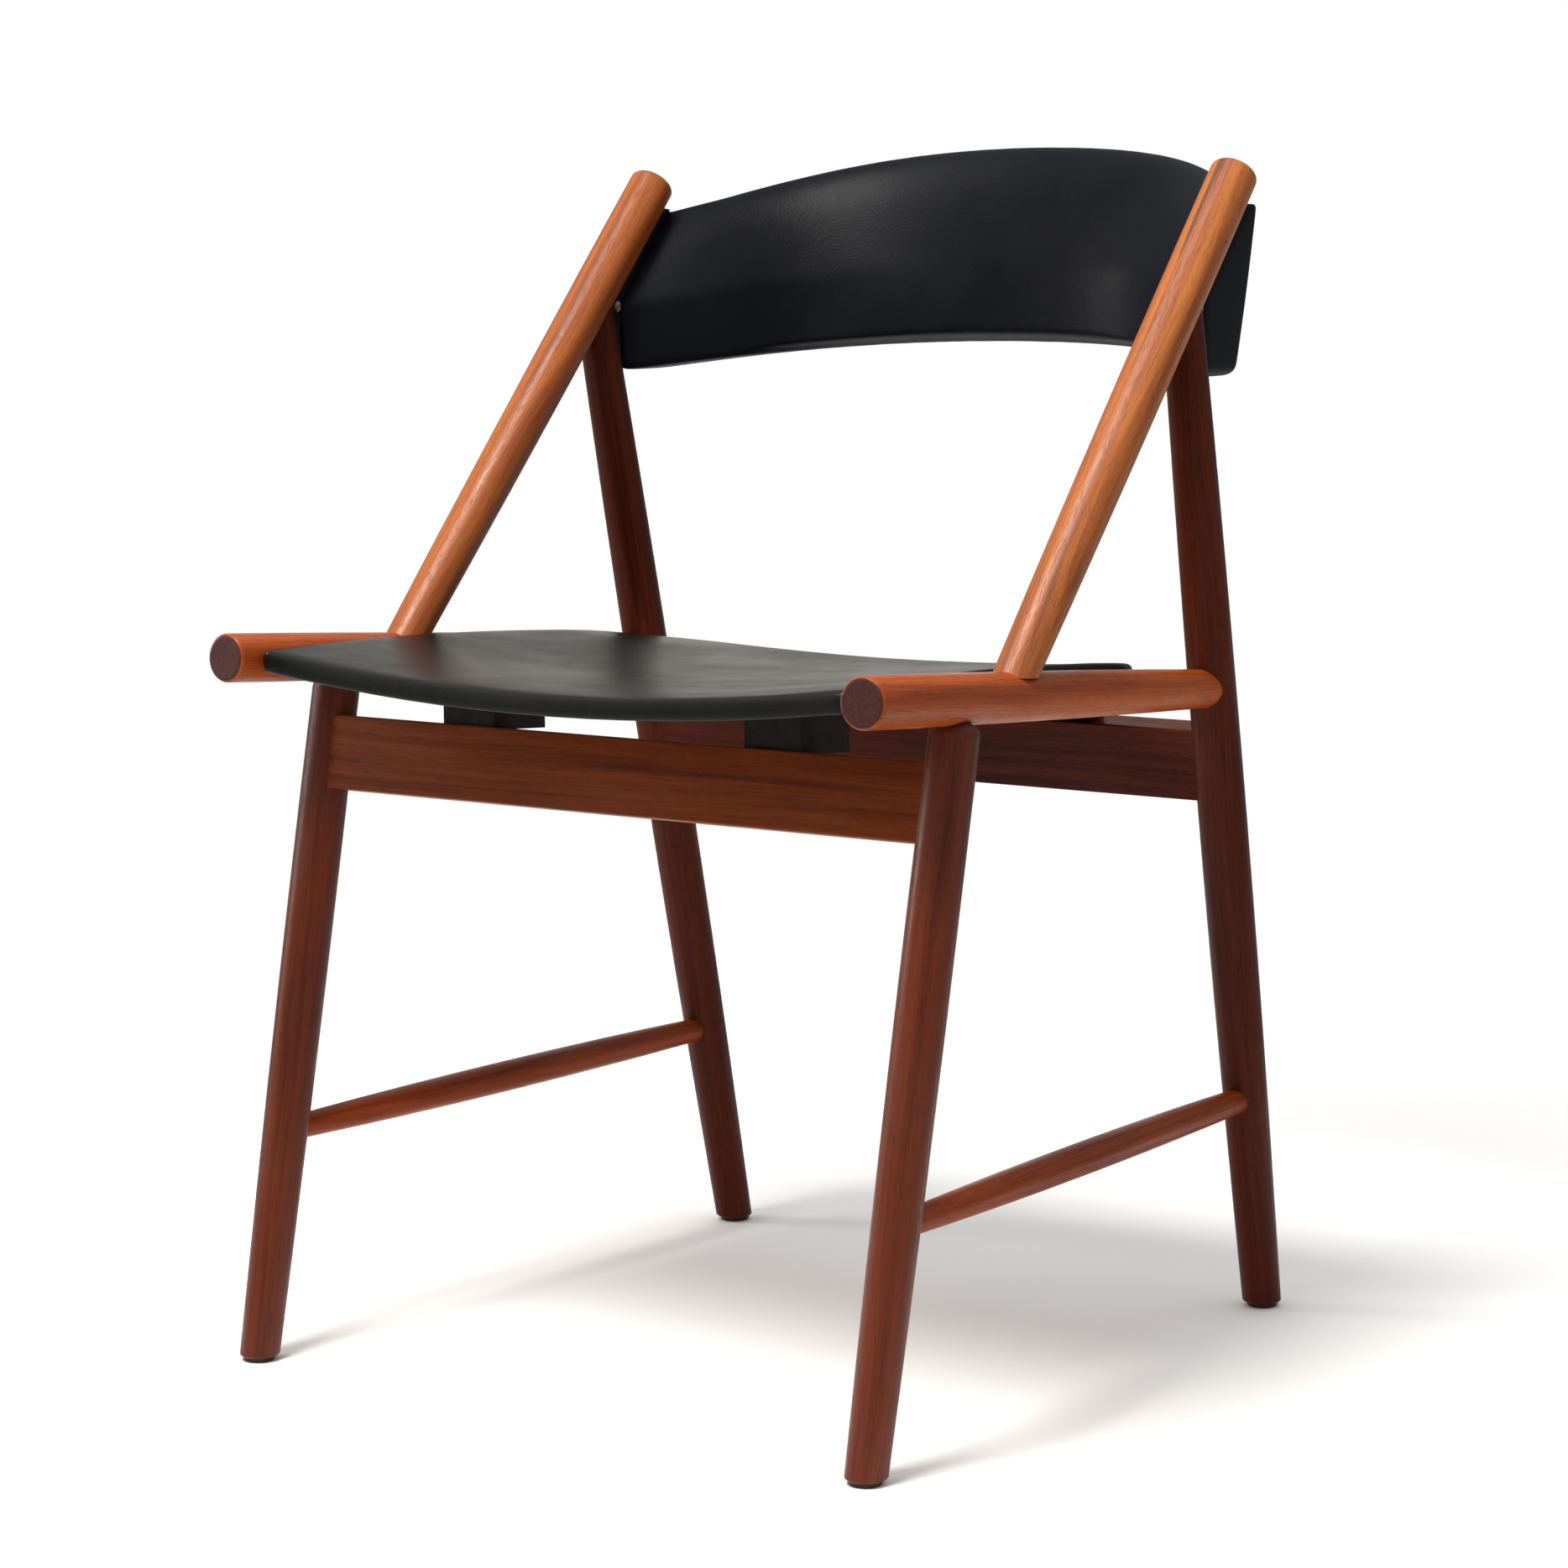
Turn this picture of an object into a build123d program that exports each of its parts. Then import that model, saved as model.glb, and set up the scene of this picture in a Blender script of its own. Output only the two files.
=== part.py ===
from build123d import *
import os

# Dining chair: two flat side frames of turned members (leg, rail, slanting back post, rear leg
# and stretcher), tied together by two aprons, with a thin scooped seat and a curved, padded back.
#
# Millimetres. X runs across the chair, Y from front to back, Z up. The origin is on the floor,
# in the middle of the chair's box. The front faces -Y; "right" pieces are at +X.
# Side views are drawn as (back, height): the distance behind the front feet, and above the floor.

# ---- Driving dimensions ----
DEPTH_TO_MIDDLE = 278.9         # from the front feet back to the middle of the chair's depth
FRONT_HALF_TRACK = 249.3        # half the distance between the front feet
SIDE_TAPER = 0.0383             # how far the side frames close in, per mm towards the back
SIDE_SPLAY = 0.0157             # how far they open out, per mm of height

FRONT_FOOT = (0.0, 0.0)
FRONT_LEG_TOP = (99.7, 463.5)   # on the rail's axis
REAR_FOOT = (499.6, 0.0)
REAR_LEG_TOP = (367.2, 700.0)   # on the back post's axis
RAIL_FRONT = (-6.5, 471.7)
RAIL_REAR = (416.6, 439.1)      # on the rear leg's axis
POST_FOOT = (154.5, 459.3)      # on the rail's axis
POST_SEAT_HEIGHT = 12.3         # the post's flat foot, above the rail's axis
POST_TOP = (438.0, 780.0)
STRETCHER_FRONT = (32.4, 150.4)
STRETCHER_REAR = (471.0, 151.5)

# Radii at even stations along each member, from its first point to its last
FRONT_LEG_RADII = (13.2, 14.7, 15.7, 16.0, 15.9)
REAR_LEG_RADII = (13.1, 15.4, 16.2, 15.4, 13.2)
RAIL_RADII = (16.2, 16.1, 15.5, 14.4, 12.7)
POST_RADII = (13.5, 14.9, 15.7, 16.1, 16.0)
STRETCHER_RADII = (7.9, 10.0, 10.7, 10.1, 8.2)

SHOULDER_ROUNDING = 9.0         # the front leg's top, where it tucks under the rail
RAIL_END_ROUNDING = 3.0
POST_END_ROUNDING = 3.5
FOOT_CHAMFER = 1.5

GLIDE_HEIGHT = 3.0
GLIDE_RADIUS = 10.5
GLIDE_NAIL_RADIUS = 1.2
GLIDE_NAIL_LENGTH = 16.0

APRON_THICKNESS = 22.5
APRON_HEIGHT = 49.5
FRONT_APRON_MIDDLE = 400.3      # height of its centre line
REAR_APRON_MIDDLE = 388.3
APRON_ROUNDING = 1.5

DOWEL_CLEARANCE = 0.05
LARGE_DOWEL_RADIUS = 5.0
SMALL_DOWEL_RADIUS = 4.0
DOWEL_REACH = 42.0              # from the neighbour's axis into the member that a dowel carries
RAIL_DOWEL_REACH = 40.0
STRETCHER_DOWEL_REACH = 32.0
DOWEL_BITE = 5.0                # how far it runs past the neighbour's axis
LEG_DOWEL_BITE = 6.0
APRON_DOWEL_REACH = 40.0
APRON_DOWEL_BITE = 7.0
APRON_DOWEL_SPREAD = 12.0       # above and below the apron's centre line

SEAT_FRONT = 6.0
SEAT_REAR = 397.0
SEAT_FRONT_HALF_WIDTH = 237.8
SEAT_REAR_HALF_WIDTH = 222.3
SEAT_FRONT_CORNER = 7.0
SEAT_REAR_CORNER = 79.0
SEAT_FRONT_HEIGHT = 460.8       # top surface on the centre line
SEAT_REAR_HEIGHT = 448.0
SEAT_SCOOP_FRONT = 17.5         # how far the seat's section rises from the middle
SEAT_SCOOP_REAR = 10.3
SEAT_SCOOP_EXTRA = 8.2          # the extra rise half way back
SEAT_SCOOP_HALF_WIDTH = 250.0   # the distance either side where these rises are measured
SEAT_SECTIONS = (-0.15, 0.1, 0.35, 0.6, 0.85, 1.15)     # stations along the seat's length
SEAT_SECTION_MARGIN = 92.2      # how far the sections reach past the outline
SEAT_THICKNESS = 13.5
SEAT_FOAM = 5.0
VINYL = 1.2
SEAT_TURN_UNDER = 24.0          # width of the vinyl border stapled under the board

BLOCK_INNER = 102.4             # the four blocks' sides, from the centre line
BLOCK_OUTER = 146.0
FRONT_BLOCK = ((83.0, 424.5), (134.5, 420.8))    # front and rear ends of its underside
REAR_BLOCK = ((352.0, 417.5), (430.0, 411.9))
BLOCK_DOWEL_RADIUS = 3.5
BLOCK_DOWEL_DEPTH = 20.0        # into the apron
BLOCK_DOWEL_RISE = 12.0         # into the block
FRONT_BLOCK_DOWEL_OFFSET = 3.0  # behind the middle of the apron's top
FRONT_SEAT_SCREW = 116.0        # how far back the screws stand
REAR_SEAT_SCREW = 366.0

SCREW_RADIUS = 2.2
SCREW_HEAD_RADIUS = 4.4
SCREW_HEAD_HEIGHT = 2.6
SCREW_BITE = 5.0                # how far a screw runs into the seat board

PAD_HALF_WIDTH = 248.0
PAD_CURVE_END = 239.0           # the pad curves this far from the centre line, then ends square
PAD_RIBS = (-1.0, -0.68, -0.34, 0.0, 0.34, 0.68, 1.0)   # stations across its curve
# The pad's section on the centre line and at its ends: front and rear, low, middle and top
PAD_MIDDLE_FRONT = ((523.7, 669.5), (535.5, 716.8), (557.0, 801.0))
PAD_MIDDLE_REAR = ((548.0, 663.5), (559.5, 711.0), (570.5, 799.5))
PAD_END_FRONT = ((392.5, 646.0), (391.9, 692.0), (450.5, 759.0))
PAD_END_REAR = ((436.5, 646.0), (448.5, 697.0), (462.5, 757.5))
PAD_COVER_SHARE = 0.065         # the front vinyl's share of the pad's depth
PAD_COVER_TRIM = 0.05           # the part of each half's height that the vinyl takes
PAD_COVER_GAP = 1.2             # the vinyl's thickness at the pad's ends
PAD_HIDDEN_TRIM = 0.08          # the same for the layers inside, which clear the vinyl
PAD_HIDDEN_GAP = 2.0
PAD_OPEN_REAR = 1.4             # past the rear of the pad, which the rear cover closes

BOLT_POINT = (387.5, 691.5)
BOLT_RADIUS = 2.4
BOLT_HEAD_RADIUS = 4.3
BOLT_HEAD_HEIGHT = 2.6
PAD_DOWEL_HEIGHT = 735.0        # where the pad's dowel leaves the back post's axis
PAD_DOWEL_RADIUS = 3.0
PAD_DOWEL_INSET = 1.6           # the dowel runs nearer the chair's middle than the post's axis
PAD_DOWEL_FRONT = 6.0           # how far it starts in front of the post's axis
PAD_DOWEL_REACH = 23.0
PIN_RADIUS = 1.3
PIN_REACH = 16.3                # from the post's axis to the pin's end, just proud of the post
# Outline of the upholstered flange at each end of the pad
FLANGE_OUTLINE = ((400.0, 648.0), (375.0, 648.0), (369.5, 690.0), (431.0, 760.0),
                  (440.0, 762.5), (451.5, 760.8), (456.5, 752.0), (402.0, 692.0))

SIDE_NORMAL = Vector(1, SIDE_TAPER, -SIDE_SPLAY).normalized()

os.makedirs("parts", exist_ok=True)


# ---- Helpers ----
def depth(back):
    """Y of a distance behind the front feet."""
    return back - DEPTH_TO_MIDDLE


def side_point(point):
    """A side-view point placed in the right-hand side frame's plane."""
    back, height = point
    across = FRONT_HALF_TRACK - SIDE_TAPER * back + SIDE_SPLAY * height
    return Vector(across, depth(back), height)


def along(start, end, distance):
    """The point on the line from start to end, a distance past start."""
    return start + (end - start).normalized() * distance


def save(piece, label):
    piece.part.label = label
    export_step(piece.part, f"parts/{label}.step")


def save_pair(piece, name):
    """Write the right-hand piece and its mirror image."""
    save(piece, f"{name}_right")
    with BuildPart() as opposite:
        mirror(piece.part, about=Plane.YZ)
    save(opposite, f"{name}_left")


def turned(start, end, radii, rounding=0.0):
    """A round member from start to end, its far edge rounded."""
    axis = end - start
    plane = Plane(origin=start, x_dir=SIDE_NORMAL, z_dir=SIDE_NORMAL.cross(axis))
    spacing = axis.length / (len(radii) - 1)
    stations = [(radius, spacing * index) for index, radius in enumerate(radii)]
    with BuildPart() as member:
        with BuildSketch(plane):
            with BuildLine():
                Spline(*stations)
                Polyline(stations[-1], (0, axis.length), (0, 0), stations[0])
            make_face()
            if rounding:
                rim = vertices().group_by(Axis.Y)[-1].sort_by(Axis.X)[-1]
                fillet(rim, rounding)
        revolve(axis=Axis(start, axis))
    return member.part


def rod(start, end, radius):
    """A plain cylinder between two points."""
    axis = end - start
    with BuildPart() as piece:
        with BuildSketch(Plane(origin=start, z_dir=axis)):
            Circle(radius)
        extrude(amount=axis.length)
    return piece.part


def bore(start, end, radius):
    """The hole for a rod."""
    return rod(start, end, radius + DOWEL_CLEARANCE)


def mirrored(shape):
    """The same shape on the chair's other side."""
    return mirror(shape, about=Plane.YZ, mode=Mode.PRIVATE)


# ---- Side frames ----
front_foot = side_point(FRONT_FOOT)
front_leg_top = side_point(FRONT_LEG_TOP)
rear_foot = side_point(REAR_FOOT)
rear_leg_top = side_point(REAR_LEG_TOP)
rail_front = side_point(RAIL_FRONT)
rail_rear = side_point(RAIL_REAR)
post_foot = side_point(POST_FOOT)
post_top = side_point(POST_TOP)
stretcher_front = side_point(STRETCHER_FRONT)
stretcher_rear = side_point(STRETCHER_REAR)

leg_under_floor = 8.0
leg_into_rail = 2.5
front_leg_height = (front_leg_top - front_foot).length
front_leg_end = along(front_foot, front_leg_top, front_leg_height - RAIL_RADII[1] + leg_into_rail)
front_leg_form = turned(along(front_foot, front_leg_top, -leg_under_floor), front_leg_end,
                        FRONT_LEG_RADII, SHOULDER_ROUNDING)
rear_leg_form = turned(along(rear_foot, rear_leg_top, -leg_under_floor), rear_leg_top,
                       REAR_LEG_RADII)
rail_form = turned(rail_rear, rail_front, RAIL_RADII[::-1], RAIL_END_ROUNDING)
post_form = turned(post_foot, post_top, POST_RADII, POST_END_ROUNDING)
rail_up = SIDE_NORMAL.cross(rail_rear - rail_front).normalized()
with BuildPart() as flat_footed_post:
    add(post_form)
    split(bisect_by=Plane(origin=post_foot + rail_up * POST_SEAT_HEIGHT, z_dir=rail_up),
          keep=Keep.TOP)
post_form = flat_footed_post.part
stretcher_form = turned(stretcher_front, stretcher_rear, STRETCHER_RADII)

# Dowels of the right-hand frame: name, two ends, radius
leg_dowel = (along(front_leg_top, front_foot, DOWEL_REACH),
             along(front_leg_top, front_foot, -LEG_DOWEL_BITE), LARGE_DOWEL_RADIUS)
rail_dowel = (along(rail_rear, rail_front, RAIL_DOWEL_REACH),
              along(rail_rear, rail_front, -DOWEL_BITE), LARGE_DOWEL_RADIUS)
post_foot_dowel = (along(post_foot, post_top, DOWEL_REACH),
                   along(post_foot, post_top, -DOWEL_BITE), LARGE_DOWEL_RADIUS)
rear_leg_dowel = (along(rear_leg_top, rear_foot, DOWEL_REACH),
                  along(rear_leg_top, rear_foot, -DOWEL_BITE), SMALL_DOWEL_RADIUS)
stretcher_front_dowel = (along(stretcher_front, stretcher_rear, STRETCHER_DOWEL_REACH),
                         along(stretcher_front, stretcher_rear, -DOWEL_BITE),
                         SMALL_DOWEL_RADIUS)
stretcher_rear_dowel = (along(stretcher_rear, stretcher_front, STRETCHER_DOWEL_REACH),
                        along(stretcher_rear, stretcher_front, -DOWEL_BITE),
                        SMALL_DOWEL_RADIUS)

# Dowels that carry the back pad, square to the post, and the pins that lock them
post_rise = (PAD_DOWEL_HEIGHT - POST_FOOT[1]) / (POST_TOP[1] - POST_FOOT[1])
pad_dowel_start = post_foot + (post_top - post_foot) * post_rise - SIDE_NORMAL * PAD_DOWEL_INSET
post_square = (post_top - post_foot).cross(SIDE_NORMAL).normalized()
if post_square.Y < 0:
    post_square = -post_square
pad_dowel = (pad_dowel_start - post_square * PAD_DOWEL_FRONT,
             pad_dowel_start + post_square * PAD_DOWEL_REACH, PAD_DOWEL_RADIUS)
locking_pin = (pad_dowel_start,
               pad_dowel_start + SIDE_NORMAL * (PAD_DOWEL_INSET + PIN_REACH), PIN_RADIUS)


# ---- Aprons ----
def apron(foot, leg_top, middle_height, leg_form):
    """A flat board between the legs, leaning as they do and fitted round them."""
    lean = (leg_top - foot).normalized()
    middle = foot + lean * (middle_height / lean.Z)
    plane = Plane(origin=(0, middle.Y, middle.Z), x_dir=(0, lean.Z, -lean.Y), z_dir=(1, 0, 0))
    with BuildPart() as board:
        with BuildSketch(plane):
            RectangleRounded(APRON_THICKNESS, APRON_HEIGHT, APRON_ROUNDING)
        extrude(amount=middle.X, both=True)
        add(leg_form, mode=Mode.SUBTRACT)
        add(mirrored(leg_form), mode=Mode.SUBTRACT)
    return board.part


def apron_dowels(foot, leg_top, middle_height):
    """Two dowels that join the apron's right-hand end to its leg."""
    lean = (leg_top - foot).normalized()
    middle = foot + lean * (middle_height / lean.Z)
    ends = []
    for offset_up in (-APRON_DOWEL_SPREAD, APRON_DOWEL_SPREAD):
        centre = middle + lean * offset_up
        inner = Vector(centre.X - APRON_DOWEL_REACH, centre.Y, centre.Z)
        outer = Vector(centre.X + APRON_DOWEL_BITE, centre.Y, centre.Z)
        ends.append((inner, outer, SMALL_DOWEL_RADIUS))
    return ends


block_middle = (BLOCK_INNER + BLOCK_OUTER) / 2


def block_dowel(foot, leg_top, middle_height, rearward):
    """An upright dowel that joins the right-hand block to the top of its apron."""
    lean = (leg_top - foot).normalized()
    middle = foot + lean * (middle_height / lean.Z)
    top = middle + Vector(0, lean.Y, lean.Z) * (APRON_HEIGHT / 2)
    start = Vector(block_middle, top.Y + rearward, top.Z)
    rise = Vector(0, lean.Y, lean.Z).normalized()
    return (start - rise * BLOCK_DOWEL_DEPTH, start + rise * BLOCK_DOWEL_RISE,
            BLOCK_DOWEL_RADIUS)


front_apron_dowels = apron_dowels(front_foot, front_leg_top, FRONT_APRON_MIDDLE)
rear_apron_dowels = apron_dowels(rear_foot, rear_leg_top, REAR_APRON_MIDDLE)
front_block_dowel = block_dowel(front_foot, front_leg_top, FRONT_APRON_MIDDLE,
                                FRONT_BLOCK_DOWEL_OFFSET)
rear_block_dowel = block_dowel(rear_foot, rear_leg_top, REAR_APRON_MIDDLE, 0.0)
front_apron_form = apron(front_foot, front_leg_top, FRONT_APRON_MIDDLE, front_leg_form)
rear_apron_form = apron(rear_foot, rear_leg_top, REAR_APRON_MIDDLE, rear_leg_form)


def fitted_member(form, coped_to, holes):
    """A member cut to fit its neighbours and bored for its dowels."""
    with BuildPart() as piece:
        add(form)
        for neighbour in coped_to:
            add(neighbour, mode=Mode.SUBTRACT)
        for hole in holes:
            add(bore(*hole), mode=Mode.SUBTRACT)
    return piece


def fitted_leg(form, foot, coped_to, holes):
    """A leg, cut level above its glide, with its toe edge eased and bored for the glide's nail."""
    nail = (foot, foot + Vector(0, 0, GLIDE_NAIL_LENGTH), GLIDE_NAIL_RADIUS)
    with BuildPart() as piece:
        add(form)
        split(bisect_by=Plane.XY.offset(GLIDE_HEIGHT), keep=Keep.TOP)
        chamfer(edges().group_by(Axis.Z)[0], FOOT_CHAMFER)
        for neighbour in coped_to:
            add(neighbour, mode=Mode.SUBTRACT)
        for hole in [*holes, nail]:
            add(bore(*hole), mode=Mode.SUBTRACT)
    return piece, nail


front_leg, front_nail = fitted_leg(front_leg_form, front_foot, [rail_form],
                                   [leg_dowel, stretcher_front_dowel, *front_apron_dowels])
rear_leg, rear_nail = fitted_leg(rear_leg_form, rear_foot, [post_form],
                                 [rear_leg_dowel, rail_dowel, stretcher_rear_dowel,
                                  *rear_apron_dowels])
rail = fitted_member(rail_form, [rear_leg_form, post_form],
                     [leg_dowel, post_foot_dowel, rail_dowel])
post = fitted_member(post_form, [],
                     [post_foot_dowel, rear_leg_dowel, pad_dowel, locking_pin])
stretcher = fitted_member(stretcher_form, [front_leg_form, rear_leg_form],
                          [stretcher_front_dowel, stretcher_rear_dowel])
save_pair(front_leg, "front_leg")
save_pair(rear_leg, "rear_leg")
save_pair(rail, "side_rail")
save_pair(post, "back_post")
save_pair(stretcher, "side_stretcher")

for label, form, dowels in (
    ("front_apron", front_apron_form, [*front_apron_dowels, front_block_dowel]),
    ("rear_apron", rear_apron_form, [*rear_apron_dowels, rear_block_dowel]),
):
    with BuildPart() as board:
        add(form)
        for dowel in dowels:
            add(bore(*dowel), mode=Mode.SUBTRACT)
            add(mirrored(bore(*dowel)), mode=Mode.SUBTRACT)
    save(board, label)


# ---- Seat ----
seat_length = SEAT_REAR - SEAT_FRONT


def seat_middle_height(run):
    """Height of the seat's top on the centre line, at a fraction of its length."""
    return SEAT_FRONT_HEIGHT + (SEAT_REAR_HEIGHT - SEAT_FRONT_HEIGHT) * run


def seat_rise(run, across):
    """How far the seat's section has risen at a distance from the centre line."""
    scoop = SEAT_SCOOP_FRONT + (SEAT_SCOOP_REAR - SEAT_SCOOP_FRONT) * run
    scoop += SEAT_SCOOP_EXTRA * 4 * run * (1 - run)
    return scoop * (across / SEAT_SCOOP_HALF_WIDTH) ** 2


def seat_layer(inset, top_depth, bottom_depth):
    """A layer of the scooped seat between two depths below its top, inset from its outline."""
    side = SEAT_FRONT_HALF_WIDTH + SEAT_SECTION_MARGIN
    with BuildPart() as layer:
        for run in SEAT_SECTIONS:
            height = seat_middle_height(run)
            rise = height + seat_rise(run, side)
            back = SEAT_FRONT + seat_length * run
            with BuildSketch(Plane(origin=(0, depth(back), 0), x_dir=(1, 0, 0), z_dir=(0, -1, 0))):
                with BuildLine():
                    upper = ThreePointArc((-side, rise - top_depth), (0, height - top_depth),
                                          (side, rise - top_depth))
                    lower = ThreePointArc((-side, rise - bottom_depth),
                                          (0, height - bottom_depth),
                                          (side, rise - bottom_depth))
                    Line(upper @ 0, lower @ 0)
                    Line(upper @ 1, lower @ 1)
                make_face()
        loft()
        with BuildSketch(Plane.XY.offset(SEAT_REAR_HEIGHT - 200)):
            with BuildLine():
                Polyline((-SEAT_FRONT_HALF_WIDTH, depth(SEAT_FRONT)),
                         (SEAT_FRONT_HALF_WIDTH, depth(SEAT_FRONT)),
                         (SEAT_REAR_HALF_WIDTH, depth(SEAT_REAR)),
                         (-SEAT_REAR_HALF_WIDTH, depth(SEAT_REAR)), close=True)
            make_face()
            fillet(vertices().group_by(Axis.Y)[-1], SEAT_REAR_CORNER)
            fillet(vertices().group_by(Axis.Y)[0], SEAT_FRONT_CORNER)
            if inset:
                offset(amount=-inset, mode=Mode.REPLACE)
        extrude(amount=400, mode=Mode.INTERSECT)
    return layer.part


def seat_underside(across, back):
    """Height of the seat board's underside."""
    run = (back - SEAT_FRONT) / seat_length
    return seat_middle_height(run) + seat_rise(run, across) - SEAT_THICKNESS + VINYL


board_depth = SEAT_THICKNESS - VINYL
board_inset = VINYL + 0.1


def seat_screw(middle, low, extra):
    """An upright countersunk screw, its head at the bottom, or its hole."""
    high = seat_underside(block_middle, middle) + SCREW_BITE
    with BuildPart() as screw:
        with BuildSketch(Plane.XY.offset(low)):
            with Locations((block_middle, depth(middle))):
                Circle(SCREW_HEAD_RADIUS + extra)
        with BuildSketch(Plane.XY.offset(low + SCREW_HEAD_HEIGHT)):
            with Locations((block_middle, depth(middle))):
                Circle(SCREW_RADIUS + extra)
        loft()
        with BuildSketch(Plane.XY.offset(low + SCREW_HEAD_HEIGHT)):
            with Locations((block_middle, depth(middle))):
                Circle(SCREW_RADIUS + extra)
        extrude(amount=high + extra - low - SCREW_HEAD_HEIGHT)
    return screw.part


def block_underside(ends, back):
    """Height of a seat block's underside."""
    (front, front_height), (rear, rear_height) = ends
    return front_height + (rear_height - front_height) * (back - front) / (rear - front)


front_screw_low = block_underside(FRONT_BLOCK, FRONT_SEAT_SCREW + SCREW_HEAD_RADIUS)
rear_screw_low = block_underside(REAR_BLOCK, REAR_SEAT_SCREW + SCREW_HEAD_RADIUS)
screw_places = ((FRONT_SEAT_SCREW, front_screw_low), (REAR_SEAT_SCREW, rear_screw_low))

above_seat = seat_layer(-70, -70, board_depth)
with BuildPart() as seat_board:
    add(seat_layer(board_inset, SEAT_FOAM, board_depth))
    for place in screw_places:
        hole = seat_screw(*place, DOWEL_CLEARANCE)
        add(hole, mode=Mode.SUBTRACT)
        add(mirrored(hole), mode=Mode.SUBTRACT)
save(seat_board, "seat_board")

with BuildPart() as seat_foam:
    add(seat_layer(board_inset, VINYL, SEAT_FOAM))
save(seat_foam, "seat_foam")

with BuildPart() as seat_cover:
    add(seat_layer(0, 0, SEAT_THICKNESS))
    add(seat_layer(board_inset, VINYL, board_depth), mode=Mode.SUBTRACT)
    add(seat_layer(SEAT_TURN_UNDER, SEAT_FOAM, SEAT_THICKNESS + 5), mode=Mode.SUBTRACT)
save(seat_cover, "seat_cover")

for label, ends, apron_form, dowel, screw_place in (
    ("seat_block_front", FRONT_BLOCK, front_apron_form, front_block_dowel, screw_places[0]),
    ("seat_block_rear", REAR_BLOCK, rear_apron_form, rear_block_dowel, screw_places[1]),
):
    (front, front_height), (rear, rear_height) = ends
    with BuildPart() as block:
        with BuildSketch(Plane(origin=(BLOCK_INNER, 0, 0), x_dir=(0, 1, 0), z_dir=(1, 0, 0))):
            with BuildLine():
                Polyline((depth(front), front_height), (depth(rear), rear_height),
                         (depth(rear), SEAT_FRONT_HEIGHT), (depth(front), SEAT_FRONT_HEIGHT),
                         close=True)
            make_face()
        extrude(amount=BLOCK_OUTER - BLOCK_INNER)
        add(above_seat, mode=Mode.SUBTRACT)
        add(seat_cover.part, mode=Mode.SUBTRACT)
        add(apron_form, mode=Mode.SUBTRACT)
        add(bore(*dowel), mode=Mode.SUBTRACT)
        add(seat_screw(*screw_place, DOWEL_CLEARANCE), mode=Mode.SUBTRACT)
    save_pair(block, label)

with BuildPart() as seat_screws:
    for place in screw_places:
        screw = seat_screw(*place, 0)
        add(screw)
        add(mirrored(screw))
save(seat_screws, "seat_screws")


# ---- Back pad ----
def pad_levels(share):
    """Front and rear points of the pad's section, low to top, at a share of its half width."""
    inward = 0.226 * share ** 2 + 0.774 * abs(share) ** 3       # how far the plan has curved
    downward = 0.5 * share ** 2 + 0.5 * abs(share) ** 3         # how far its edges have dropped
    levels = []
    for middle_pair, end_pair in zip(zip(PAD_MIDDLE_FRONT, PAD_MIDDLE_REAR),
                                     zip(PAD_END_FRONT, PAD_END_REAR)):
        level = []
        for (back, height), (end_back, end_height) in zip(middle_pair, end_pair):
            level.append(Vector(0, depth(back + (end_back - back) * inward),
                                height + (end_height - height) * downward))
        levels.append(level)
    return levels


def pad_rib(across, front, rear, trim):
    """The pad's section at a distance from the centre line, between two fractions of its depth.

    Trim is the fraction of the lower and upper half cut off at the bottom and the top."""
    corners = []
    for fraction in (front, rear):
        levels = pad_levels(across / PAD_CURVE_END)
        low, middle, high = (first + (last - first) * fraction for first, last in levels)
        line = [low + (middle - low) * trim, middle, high + (middle - high) * trim]
        corners += line if fraction == front else line[::-1]
    plane = Plane(origin=(across, 0, 0), x_dir=(0, 1, 0), z_dir=(1, 0, 0))
    with BuildSketch(plane) as rib:
        with BuildLine():
            Polyline(*[(corner.Y, corner.Z) for corner in corners], close=True)
        make_face()
    return rib.sketch


def pad_layer(front, rear, trim=0.0, end_gap=0.0):
    """A layer of the curved pad, from one fraction of its depth to another."""
    with BuildPart() as layer:
        ribs = [pad_rib(share * PAD_CURVE_END, front, rear, trim) for share in PAD_RIBS]
        loft(ribs)
        square_end = PAD_HALF_WIDTH - PAD_CURVE_END - end_gap
        extrude(ribs[0], amount=-square_end)
        extrude(ribs[-1], amount=square_end)
    return layer.part


pad_outside = pad_layer(0, 1)

# The layers inside the cover, front to back, as fractions of the pad's depth
for label, front, rear in (("backrest_foam", 0.11, 0.57),
                           ("backrest_board", 0.58, 0.90),
                           ("backrest_rear_cover", 0.915, 0.99)):
    with BuildPart() as layer:
        add(pad_layer(front, rear, PAD_HIDDEN_TRIM, PAD_HIDDEN_GAP))
    save(layer, label)

with BuildPart() as backrest_cover:
    add(pad_outside)
    add(pad_layer(PAD_COVER_SHARE, PAD_OPEN_REAR, PAD_COVER_TRIM, PAD_COVER_GAP),
        mode=Mode.SUBTRACT)
save(backrest_cover, "backrest_cover")

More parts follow.
